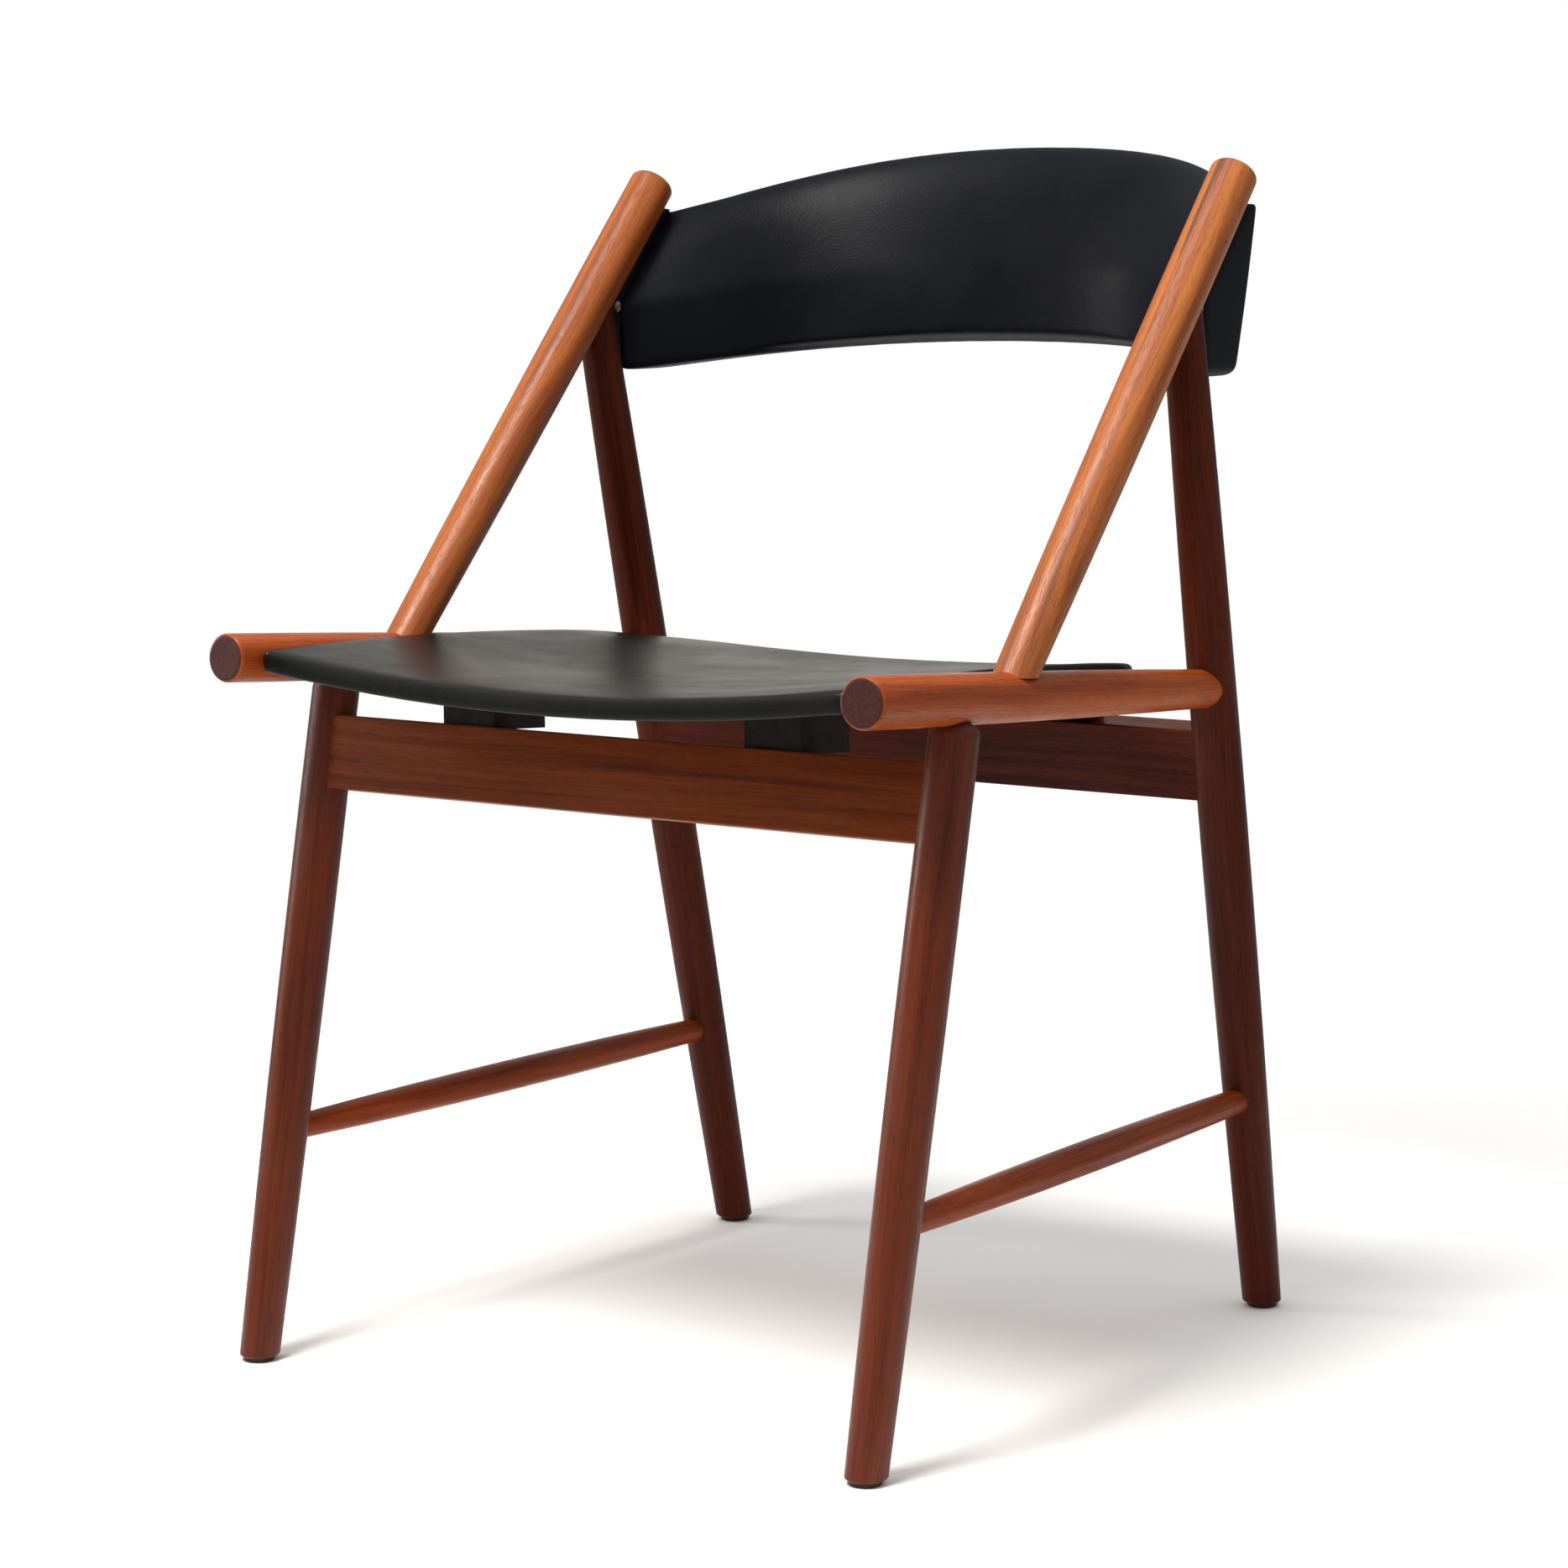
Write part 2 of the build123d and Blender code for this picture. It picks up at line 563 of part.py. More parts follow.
# Upholstered flange that closes the corner between each end of the pad and its post
bolt = (Vector(PAD_CURVE_END, depth(BOLT_POINT[0]), BOLT_POINT[1]),
        Vector(PAD_HALF_WIDTH, depth(BOLT_POINT[0]), BOLT_POINT[1]), BOLT_RADIUS)
with BuildPart() as flange:
    with BuildSketch(Plane(origin=(PAD_CURVE_END, 0, 0), x_dir=(0, 1, 0), z_dir=(1, 0, 0))):
        with BuildLine():
            Polyline(*[(depth(back), height) for back, height in FLANGE_OUTLINE], close=True)
        make_face()
    extrude(amount=PAD_HALF_WIDTH - PAD_CURVE_END)
    add(post_form, mode=Mode.SUBTRACT)
    add(rear_leg_form, mode=Mode.SUBTRACT)
    add(pad_outside, mode=Mode.SUBTRACT)
    add(bore(*pad_dowel), mode=Mode.SUBTRACT)
    add(bore(*bolt), mode=Mode.SUBTRACT)
save_pair(flange, "backrest_flange")


# ---- Fasteners, dowels and glides ----
def dome_head(face_point, outward):
    """A bolt's dome head, sitting on a face."""
    curvature = (BOLT_HEAD_RADIUS ** 2 + BOLT_HEAD_HEIGHT ** 2) / (2 * BOLT_HEAD_HEIGHT)
    section = Plane(origin=face_point, x_dir=(0, 0, 1), z_dir=Vector(0, 0, 1).cross(outward))
    with BuildPart() as head:
        with BuildSketch(section):
            with BuildLine():
                Polyline((0, BOLT_HEAD_HEIGHT), (0, 0), (BOLT_HEAD_RADIUS, 0))
                RadiusArc((BOLT_HEAD_RADIUS, 0), (0, BOLT_HEAD_HEIGHT), -curvature)
            make_face()
        revolve(axis=Axis(face_point, outward))
    return head.part


def save_mirrored_group(pieces, label):
    """One node that holds the right-hand pieces and their mirror images."""
    with BuildPart() as group:
        for piece in pieces:
            add(piece)
            add(mirrored(piece))
    save(group, label)


with BuildPart() as bolt_piece:
    add(rod(*bolt))
    add(dome_head(bolt[0], Vector(-1, 0, 0)))
    add(dome_head(bolt[1], Vector(1, 0, 0)))
save_mirrored_group([bolt_piece.part], "backrest_bolts")
save_mirrored_group([rod(*locking_pin)], "backrest_pins")

with BuildPart() as pad_dowel_piece:
    add(rod(*pad_dowel))
    add(bore(*locking_pin), mode=Mode.SUBTRACT)
save_mirrored_group([pad_dowel_piece.part], "backrest_dowels")
save_mirrored_group([rod(*leg_dowel)], "front_leg_dowels")
save_mirrored_group([rod(*rear_leg_dowel)], "rear_leg_dowels")
save_mirrored_group([rod(*rail_dowel)], "side_rail_dowels")
save_mirrored_group([rod(*post_foot_dowel)], "back_post_dowels")
save_mirrored_group([rod(*stretcher_front_dowel), rod(*stretcher_rear_dowel)],
                    "stretcher_dowels")
save_mirrored_group([rod(*dowel) for dowel in front_apron_dowels], "front_apron_dowels")
save_mirrored_group([rod(*dowel) for dowel in rear_apron_dowels], "rear_apron_dowels")
save_mirrored_group([rod(*front_block_dowel), rod(*rear_block_dowel)], "seat_block_dowels")
save_mirrored_group([rod(*front_nail), rod(*rear_nail)], "glide_nails")

for label, foot, nail in (("front_glide", front_foot, front_nail),
                          ("rear_glide", rear_foot, rear_nail)):
    with BuildPart() as glide:
        with BuildSketch(Plane.XY):
            with Locations((foot.X, foot.Y)):
                Circle(GLIDE_RADIUS)
        extrude(amount=GLIDE_HEIGHT)
        chamfer(edges().group_by(Axis.Z)[0], GLIDE_HEIGHT / 4)
        add(bore(*nail), mode=Mode.SUBTRACT)
    save_pair(glide, label)
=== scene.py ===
import math

import bmesh
import bpy
import numpy as np
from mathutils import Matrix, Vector, geometry, noise
from mathutils.bvhtree import BVHTree


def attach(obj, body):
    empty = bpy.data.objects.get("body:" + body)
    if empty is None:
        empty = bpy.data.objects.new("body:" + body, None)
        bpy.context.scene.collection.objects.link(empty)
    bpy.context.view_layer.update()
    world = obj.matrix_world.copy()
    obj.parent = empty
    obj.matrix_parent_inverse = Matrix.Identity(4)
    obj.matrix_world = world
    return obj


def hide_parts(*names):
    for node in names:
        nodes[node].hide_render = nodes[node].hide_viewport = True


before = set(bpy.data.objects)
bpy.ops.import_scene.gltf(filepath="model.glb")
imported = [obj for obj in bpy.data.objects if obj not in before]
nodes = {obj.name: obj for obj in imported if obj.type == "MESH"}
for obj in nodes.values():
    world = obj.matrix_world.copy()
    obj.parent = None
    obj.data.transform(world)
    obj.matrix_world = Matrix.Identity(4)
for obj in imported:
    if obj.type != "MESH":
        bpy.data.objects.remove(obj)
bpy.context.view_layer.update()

# ---- Sizes, in metres ----
MEMBER_END = 0.04               # points this near a member's furthest point belong to its end
RAY_START = 1.0                 # rays start this far out, clear of the chair
UNDER_SEAT = 0.2                # rays at the seat's underside start at this height
VERTICAL_RAYS = 160             # steps across the pad's depth in the search for its edges

SEAT_RINGS = 30                 # rings of the seat's skin from its middle to its edge
SEAT_AROUND = 336               # points round each ring
SEAT_RING_SPREAD = 0.16         # how far the rings reach in from the edge
SEAT_RING_POWER = 1.15          # above 1, so that the rings crowd towards the edge
SEAT_RING_STRETCH = 1.45        # how much wider the rings' steps are than their insets
SEAT_HUB = 0.02                 # the smallest ring, as a share of the outline
SEAT_ROLL = 0.0040              # radius of the seat's rolled top edge
SEAT_ROLL_ANGLES = (22, 45, 68, 90)
SEAT_LOWER_ROLL = 0.0022
SEAT_LOWER_ANGLES = (0, 30, 60, 90)
SEAT_CROWN = 0.0009             # how far the foam lifts the vinyl behind its edge
SEAT_CROWN_RISE = 0.010         # the lift grows over this distance from the edge
SEAT_CROWN_END = 0.07           # and has sunk this far in
SEAT_CROWN_FADE = 0.06          # after sinking over this distance
SEAT_CROWN_REST = 0.35          # to this share
SEAT_RIPPLE = 0.0005            # unevenness of the vinyl's top
SEAT_RIPPLE_RATE = (7, 9)
SEAT_RIPPLE_SLICE = 0.3
SEAT_BULGE = 0.0008             # how far the edge swells between top and underside
SEAT_BULGE_SHARES = (0.33, 0.66)
SEAT_EDGE_INSET = 0.0006        # rays at the edge's top and underside go this far inside it
SEAT_BORDER = 0.023             # width of the vinyl turned under the board
SEAT_BORDER_SHARES = (0.35, 0.7, 1.0)
SEAT_BORDER_WANDER = 0.0012     # unevenness of its cut edge
SEAT_BORDER_RATE = 40
SEAT_BORDER_SLICE = 2
SEAT_BORDER_GAP = 0.0002        # how far it lies below the cover
SEAT_UNDER_REACH = 0.021        # rays at the underside go no further in than this
SEAT_SKIN_THICKNESS = 0.0009

PAD_CURVE_END = 0.239           # the pad curves this far from the centre line
PAD_TOP_ROUNDING = (0.0085, 0.036)      # depth and height of its front's rounding at the top
PAD_LOW_ROUNDING = (0.0030, 0.006)
PAD_REAR_ROUNDING = 0.0035
PAD_FRONT_EDGE = 0.0030         # rays see the pad's front to this far from its edges
PAD_REAR_EDGE = 0.0090          # and its rear, where the rear cover stops short of the edges
PAD_TIP_ROUNDING = 0.0040
PAD_END_ROUNDING = 0.1          # share of the top's rounding that is left at its ends
PAD_RISES = (0, 0.0005, 0.0015, 0.003, 0.005, 0.008, 0.012)    # points near its edges
PAD_MIDDLE_STEPS = 16           # steps between those points
PAD_STEPS = 120                 # sections along its curve
PAD_TIP_GAP = 0.002             # least distance from the last of them to the tips' sections
PAD_LAST_SECTION = 0.003        # sections are read no closer to its ends than this
PAD_SLOPE_STEP = 0.006          # height over which a face's slope is read
PAD_FRONT_SHARE = 0.55          # the most of its thickness that the front's rounding may take
PAD_REAR_SHARE = 0.35           # the same for its rear
PAD_TIP_SHARE = 0.35            # and for each face at the tips
PAD_LOW_CORNER = (0.013, 0.008)         # width and height of its ends' rounded corners
PAD_TOP_CORNER = (0.003, 0.001)
PAD_TIPS = (0.0130, 0.0105, 0.0082, 0.0062, 0.0045, 0.0030, 0.0018, 0.0009, 0.0003, 0.0)
PAD_CROWN = 0.0020              # bulge of its front before it swells
PAD_SWELL = 0.0024              # the most that its skin may swell
PAD_END_SWELL = 0.0020          # the same near its ends
PAD_END = 0.232                 # from here out the pad counts as an end
PAD_EDGE_BLEND = 0.030
CLOTH_PRESSURE = 4.0
CLOTH_MASS = 0.3
CLOTH_QUALITY = 4
CLOTH_FRAMES = 15
SWELL_SMOOTHING = 60            # passes that even out the swelling
FLANGE_VOXEL = 0.0012
FLANGE_SMOOTHING = 8
WELT_RADIUS = 0.0008
PAD_WELT_ROW = 5                # the welt follows this row of the pad's rear, from its edge
PAD_WELT_INSET = 0.0160         # and stays this far from its ends

CAMERA_PLACE = (1.7060, -2.3000, 0.7553)
CAMERA_TURN = (83.27, 0.74, 37.05)
CAMERA_LENS = 98.2
CAMERA_SHIFT = (0.0172, -0.0406)
FLOOR_BOUNCE = 0.45             # light that the far floor gives, where white is 1
FLOOR_RADIUS = 60
FLOOR_SIDES = 96
FLOOR_FADE = (0.45, 1.5)        # distances where it starts to fade to white and is white
WORLD_OVERHEAD = 0.9
WORLD_AROUND = 0.22
WORLD_FADE = (0.1, 0.9)         # heights in the sky where one gives way to the other

# Name, place, target, width, power and colour
LIGHTS = (("key", (-0.2, -1.7, 3.2), (0, 0, 0.6), 1.3, 125, (1.0, 0.96, 0.90)),
          ("left", (-2.6, -1.0, 1.0), (0, 0, 0.6), 0.9, 25, (1.0, 0.95, 0.88)),
          ("behind", (-1.9, 2.7, 1.0), (0, 0, 0.5), 1.6, 5.0, (1.0, 0.93, 0.82)))


# ---- Node helpers ----
class Graph:
    """A small builder for a material's node tree."""

    def __init__(self, name):
        self.material = bpy.data.materials.new(name)
        self.material.use_nodes = True
        self.tree = self.material.node_tree
        self.shader = self.tree.nodes["Principled BSDF"]

    def node(self, kind, **settings):
        made = self.tree.nodes.new(kind)
        for key, value in settings.items():
            setattr(made, key, value)
        return made

    def link(self, source, target):
        self.tree.links.new(source, target)

    def put(self, socket, value):
        if isinstance(value, bpy.types.NodeSocket):
            self.link(value, socket)
        else:
            socket.default_value = value

    def set(self, **values):
        """Values or sockets for the shader's inputs, by name with underscores."""
        for key, value in values.items():
            self.put(self.shader.inputs[key.replace("_", " ")], value)

    def math(self, operation, first, second=0.0, clamp=False):
        made = self.node("ShaderNodeMath", operation=operation, use_clamp=clamp)
        self.put(made.inputs[0], first)
        self.put(made.inputs[1], second)
        return made.outputs[0]

    def mix(self, factor, first, second):
        made = self.node("ShaderNodeMix", data_type="RGBA")
        self.put(made.inputs["Factor"], factor)
        self.put(made.inputs["A"], first)
        self.put(made.inputs["B"], second)
        return made.outputs["Result"]

    def ramp(self, factor, *stops):
        """A colour ramp through (position, colour) stops."""
        made = self.node("ShaderNodeValToRGB")
        self.put(made.inputs["Fac"], factor)
        elements = made.color_ramp.elements
        while len(elements) < len(stops):
            elements.new(0.5)
        for element, (position, colour) in zip(elements, stops):
            element.position = position
            element.color = (*colour, 1)
        return made.outputs["Color"]

    def step(self, value, low, high, to_low=0.0, to_high=1.0):
        """Value rescaled from low..high, smoothly and clamped."""
        made = self.node("ShaderNodeMapRange", interpolation_type="SMOOTHSTEP")
        for socket, number in zip(made.inputs, (value, low, high, to_low, to_high)):
            self.put(socket, number)
        return made.outputs["Result"]

    def place(self, source=None, rotation=(0, 0, 0), scale=(1, 1, 1), location=(0, 0, 0)):
        made = self.node("ShaderNodeMapping")
        source = source or self.node("ShaderNodeTexCoord").outputs["Object"]
        self.link(source, made.inputs["Vector"])
        made.inputs["Rotation"].default_value = rotation
        made.inputs["Scale"].default_value = scale
        made.inputs["Location"].default_value = location
        return made.outputs["Vector"]

    def noise(self, vector, scale=1.0, detail=3.0, roughness=0.55):
        made = self.node("ShaderNodeTexNoise")
        self.link(vector, made.inputs["Vector"])
        made.inputs["Scale"].default_value = scale
        made.inputs["Detail"].default_value = detail
        made.inputs["Roughness"].default_value = roughness
        return made.outputs["Fac"]

    def cells(self, vector, scale):
        made = self.node("ShaderNodeTexVoronoi", feature="SMOOTH_F1")
        self.link(vector, made.inputs["Vector"])
        made.inputs["Scale"].default_value = scale
        return made.outputs["Distance"]

    def bump(self, height, distance, strength=1.0, normal=None):
        made = self.node("ShaderNodeBump")
        made.inputs["Distance"].default_value = distance
        made.inputs["Strength"].default_value = strength
        self.link(height, made.inputs["Height"])
        if normal is not None:
            self.link(normal, made.inputs["Normal"])
        return made.outputs["Normal"]


# ---- Wood ----
# Scales of the noise in the wood: twice across the grain, and along it
WANDER_SCALE = (14, 14, 5)
FIGURE_SCALE = (150, 55, 2.6)
FIBRE_SCALE = (900, 900, 14)
TONE_SCALE = (9, 9, 3)
STREAK_SCALE = (75, 190, 1.6)
PORE_SCALE = (2600, 2600, 75)
RING_SCALE = (520, 260, 0.5)
DOT_SCALE = (1700, 1700, 30)
SMUDGE_SCALE = (30, 30, 12)
GRAIN_WANDER = (0.012, 0.009)   # metres that the grain strays sideways
STREAK_TONE = 0.28              # streaks and pores, as a share of the dark tone
END_LIGHT = (0.066, 0.020, 0.016)
END_DARK = (0.036, 0.011, 0.010)


def grain_rotation(direction):
    """The turn that brings a member's length onto Z."""
    return direction.normalized().rotation_difference(Vector((0, 0, 1))).to_euler()


def teak(name, direction, light, middle, dark, seed, streaks=0.5, gloss=0.36, shine=0.20):
    """Oiled teak with its grain along direction, and end grain where it is cut across."""
    graph = Graph(name)
    turn = grain_rotation(direction)
    shifted = (3.1 * seed, 1.7 * seed, 0.9 * seed)
    straight = graph.place(rotation=turn, location=shifted)
    wander = graph.noise(graph.place(straight, scale=WANDER_SCALE), detail=1.0)
    bend = graph.node("ShaderNodeVectorMath", operation="ADD")
    offset = graph.node("ShaderNodeCombineXYZ")
    graph.link(graph.math("MULTIPLY", wander, GRAIN_WANDER[0]), offset.inputs["X"])
    graph.link(graph.math("MULTIPLY", wander, GRAIN_WANDER[1]), offset.inputs["Y"])
    graph.link(straight, bend.inputs[0])
    graph.link(offset.outputs[0], bend.inputs[1])
    grain = bend.outputs[0]

    figure = graph.noise(graph.place(grain, scale=FIGURE_SCALE), detail=5.0, roughness=0.65)
    fibre = graph.noise(graph.place(grain, scale=FIBRE_SCALE), detail=3.0, roughness=0.7)
    tone = graph.noise(graph.place(straight, scale=TONE_SCALE), detail=2.0)
    mixed = graph.math("ADD", graph.math("MULTIPLY", figure, 0.68),
                       graph.math("MULTIPLY", fibre, 0.32))
    shift = graph.math("MULTIPLY", graph.math("SUBTRACT", tone, 0.5), 0.35)
    mixed = graph.math("ADD", mixed, shift)
    colour = graph.ramp(mixed, (0.32, dark), (0.46, middle), (0.63, light))

    band = graph.noise(graph.place(grain, scale=STREAK_SCALE), detail=2.0, roughness=0.5)
    streak = graph.step(band, 0.60, 0.70, 0.0, streaks)
    deep = tuple(channel * STREAK_TONE for channel in dark)
    colour = graph.mix(streak, colour, (*deep, 1))

    pore_noise = graph.noise(graph.place(grain, scale=PORE_SCALE), detail=1.0)
    pore = graph.step(pore_noise, 0.60, 0.70)
    colour = graph.mix(graph.math("MULTIPLY", pore, 0.55), colour, (*deep, 1))

    cut = graph.node("ShaderNodeVectorMath", operation="DOT_PRODUCT")
    graph.link(graph.node("ShaderNodeTexCoord").outputs["Normal"], cut.inputs[0])
    cut.inputs[1].default_value = direction.normalized()
    across = graph.step(graph.math("ABSOLUTE", cut.outputs["Value"]), 0.70, 0.92)
    ring = graph.noise(graph.place(straight, scale=RING_SCALE), detail=3.0)
    dots = graph.noise(graph.place(straight, scale=DOT_SCALE), detail=1.0)
    end_tone = graph.math("ADD", graph.math("MULTIPLY", ring, 0.6),
                          graph.math("MULTIPLY", dots, 0.4))
    end_colour = graph.ramp(end_tone, (0.38, END_DARK), (0.62, END_LIGHT))
    colour = graph.mix(across, colour, end_colour)

    smudge = graph.noise(graph.place(straight, scale=SMUDGE_SCALE), detail=3.0)
    rough = graph.math("ADD", graph.step(smudge, 0.3, 0.7, gloss - 0.07, gloss + 0.10),
                       graph.math("MULTIPLY", pore, 0.15))
    height = graph.math("SUBTRACT", graph.math("MULTIPLY", fibre, 0.5), pore)
    graph.set(Base_Color=colour, Roughness=rough, Normal=graph.bump(height, 0.00012, 0.6),
              Specular_IOR_Level=shine)
    return graph.material


# Light, middle and dark tones of each group of members
# The left post's tones are the right post's teak darkened, painted shade: the same wood shown less
# lit
POST_LEFT_PAINTED_SHADE = ((0.41, 0.112, 0.013), (0.28, 0.062, 0.006), (0.14, 0.026, 0.003))
POST_RIGHT = ((0.50, 0.150, 0.019), (0.34, 0.084, 0.009), (0.16, 0.032, 0.004))
RAIL = ((0.42, 0.085, 0.008), (0.30, 0.050, 0.005), (0.15, 0.022, 0.002))
FRONT_LEG = ((0.145, 0.027, 0.008), (0.105, 0.0180, 0.0055), (0.060, 0.010, 0.003))
# The rear legs' tones are the front legs' teak darkened, painted shade on the legs at the back
REAR_LEG_PAINTED_SHADE = ((0.095, 0.017, 0.005), (0.062, 0.0095, 0.0030), (0.030, 0.004, 0.0015))
STRETCHER = ((0.30, 0.052, 0.007), (0.21, 0.033, 0.004), (0.10, 0.015, 0.002))
APRON = ((0.200, 0.041, 0.006), (0.135, 0.024, 0.0035), (0.070, 0.011, 0.002))
# The rear apron's tones are the front apron's teak darkened, painted shade under the seat
REAR_APRON_PAINTED_SHADE = ((0.085, 0.015, 0.004), (0.056, 0.008, 0.0025), (0.027, 0.004, 0.0012))


def member_direction(node):
    """A straight member's length, from its mesh: the line between its two furthest ends."""
    points = [vertex.co for vertex in nodes[node].data.vertices]
    centre = sum(points, Vector()) / len(points)
    far = max(points, key=lambda point: (point - centre).length)
    other = max(points, key=lambda point: (point - far).length)
    middle_far = [point for point in points if (point - far).length < MEMBER_END]
    middle_other = [point for point in points if (point - other).length < MEMBER_END]
    first = sum(middle_far, Vector()) / len(middle_far)
    second = sum(middle_other, Vector()) / len(middle_other)
    return (second - first).normalized()


def give(node, material):
    slots = nodes[node].data.materials
    slots.clear()
    slots.append(material)


for seed, side in enumerate(("left", "right"), start=1):
    # The left post takes the darker copy of the post's tones, painted shade
    post_look = (POST_LEFT_PAINTED_SHADE, 0.3, 0.4) if side == "left" else (POST_RIGHT, 0.85, 0.5)
    for name, tones, streaks, shine in (("back_post", *post_look),
                                        ("side_rail", RAIL, 0.45, 0.22),
                                        ("front_leg", FRONT_LEG, 0.25, 0.26),
                                        ("rear_leg", REAR_LEG_PAINTED_SHADE, 0.30, 0.10),
                                        ("side_stretcher", STRETCHER, 0.3, 0.16)):
        node = f"{name}_{side}"
        give(node, teak(f"teak_{node}", member_direction(node), *tones,
                        seed=seed + len(name), streaks=streaks, shine=shine))
give("front_apron", teak("teak_front_apron", Vector((1, 0, 0)), *APRON, seed=20, streaks=0.3,
                         shine=0.12))
give("rear_apron", teak("teak_rear_apron", Vector((1, 0, 0)), *REAR_APRON_PAINTED_SHADE, seed=21, streaks=0.4,
                        shine=0.08))


# ---- Vinyl ----
GRAIN_SCALE = 850
CREASE_SCALE = 420
WAVE_SCALE = 45
WEAR_SCALE = 9


def vinyl(name, colour, rough, shine, fine=0.55):
    """Grained vinyl that is a little worn, duller and glossier in places."""
    graph = Graph(name)
    spot = graph.place()
    cells = graph.cells(spot, GRAIN_SCALE)
    creases = graph.noise(spot, scale=CREASE_SCALE, detail=3.0, roughness=0.6)
    waves = graph.noise(spot, scale=WAVE_SCALE, detail=2.0)
    wear = graph.noise(spot, scale=WEAR_SCALE, detail=4.0, roughness=0.6)
    shade = tuple(channel * 1.5 for channel in colour)
    tone = graph.mix(graph.step(wear, 0.35, 0.75), (*colour, 1), (*shade, 1))
    height = graph.math("ADD", cells, graph.math("MULTIPLY", creases, 0.5))
    leather = graph.bump(height, 0.00022, fine)
    rough_map = graph.math("ADD", graph.step(wear, 0.3, 0.7, rough - 0.04, rough + 0.06),
                           graph.math("MULTIPLY", creases, 0.04))
    graph.set(Base_Color=tone, Roughness=rough_map, Normal=graph.bump(waves, 0.0007, 0.35, leather),
              Specular_IOR_Level=shine)
    return graph.material


seat_vinyl = vinyl("seat_vinyl", (0.0038, 0.0040, 0.0034), 0.34, shine=0.15)
back_vinyl = vinyl("back_vinyl", (0.0042, 0.0048, 0.0072), 0.36, shine=0.085, fine=0.35)


# ---- Small parts' materials ----
def plain(name, colour, rough, metallic=0.0, scale=300, shine=0.2):
    """A simple finish with slight variation in tone, gloss and surface."""
    graph = Graph(name)
    spot = graph.place()
    blotch = graph.noise(spot, scale=scale, detail=4.0)
    shade = tuple(channel * 0.6 for channel in colour)
    graph.set(Base_Color=graph.mix(graph.step(blotch, 0.35, 0.65), (*colour, 1), (*shade, 1)),
              Roughness=graph.step(blotch, 0.3, 0.7, rough - 0.05, rough + 0.08),
              Normal=graph.bump(blotch, 0.0002, 0.4), Metallic=metallic,
              Specular_IOR_Level=0.5 if metallic else shine)
    return graph.material


bronze = plain("antique_bronze", (0.22, 0.165, 0.125), 0.34, metallic=1.0, scale=900)
steel = plain("zinc_steel", (0.50, 0.50, 0.50), 0.35, metallic=1.0, scale=900)
# Near-black seat blocks: partly their own dark stain, partly painted shade where they sit under the
# seat
block_stain_and_shade = plain("block_stain_and_painted_shade", (0.009, 0.006, 0.006), 0.6, scale=120)
glide_plastic = plain("dark_glide", (0.045, 0.022, 0.013), 0.5, scale=400)
foam = plain("foam", (0.62, 0.55, 0.35), 0.9, scale=800)
beech = teak("beech", Vector((0, 0, 1)), (0.62, 0.42, 0.24), (0.55, 0.36, 0.20),
             (0.42, 0.26, 0.14), seed=31, streaks=0.0)
plywood = teak("plywood", Vector((1, 0, 0)), (0.50, 0.34, 0.19), (0.42, 0.27, 0.15),
               (0.30, 0.18, 0.10), seed=37, streaks=0.1)

for node in nodes:
    if node.endswith("_dowels"):
        give(node, beech)
for node in ("seat_board", "backrest_board"):
    give(node, plywood)
for node in ("seat_foam", "backrest_foam"):
    give(node, foam)
for node in nodes:
    if node.startswith("seat_block"):
        give(node, block_stain_and_shade)
    if "glide_l" in node or "glide_r" in node:
        give(node, glide_plastic)
for node in ("seat_screws", "glide_nails"):
    give(node, steel)
for node in ("backrest_bolts", "backrest_pins"):
    give(node, bronze)
for node in ("backrest_cover", "backrest_rear_cover",
             "backrest_flange_left", "backrest_flange_right"):
    give(node, back_vinyl)
give("seat_cover", seat_vinyl)


# ---- Mesh helpers ----
def shade_smooth(mesh):
    mesh.polygons.foreach_set("use_smooth", [True] * len(mesh.polygons))


def new_piece(name, mesh, material):
    piece = bpy.data.objects.new(name, mesh)
    bpy.context.collection.objects.link(piece)
    mesh.materials.clear()
    mesh.materials.append(material)
    shade_smooth(mesh)
    return piece


def baked(piece):
    """The piece's mesh with its modifiers applied, in place of the old one, shaded smooth."""
    bpy.context.view_layer.update()
    graph = bpy.context.evaluated_depsgraph_get()
    mesh = bpy.data.meshes.new_from_object(piece.evaluated_get(graph))
    piece.modifiers.clear()
    old = piece.data
    piece.data = mesh
    bpy.data.meshes.remove(old)
    shade_smooth(mesh)
    return mesh


def copied(name, node, material):
    """A new piece from a copy of a CAD node."""
    shape = bmesh.new()
    shape.from_mesh(nodes[node].data)
    mesh = bpy.data.meshes.new(name)
    shape.to_mesh(mesh)
    shape.free()
    return new_piece(name, mesh, material)


def modify(piece, kind, **settings):
    modifier = piece.modifiers.new(kind.lower(), kind)
    for key, value in settings.items():
        setattr(modifier, key, value)
    return modifier


def smoothstep(value):
    value = min(1.0, max(0.0, value))
    return value * value * (3 - 2 * value)


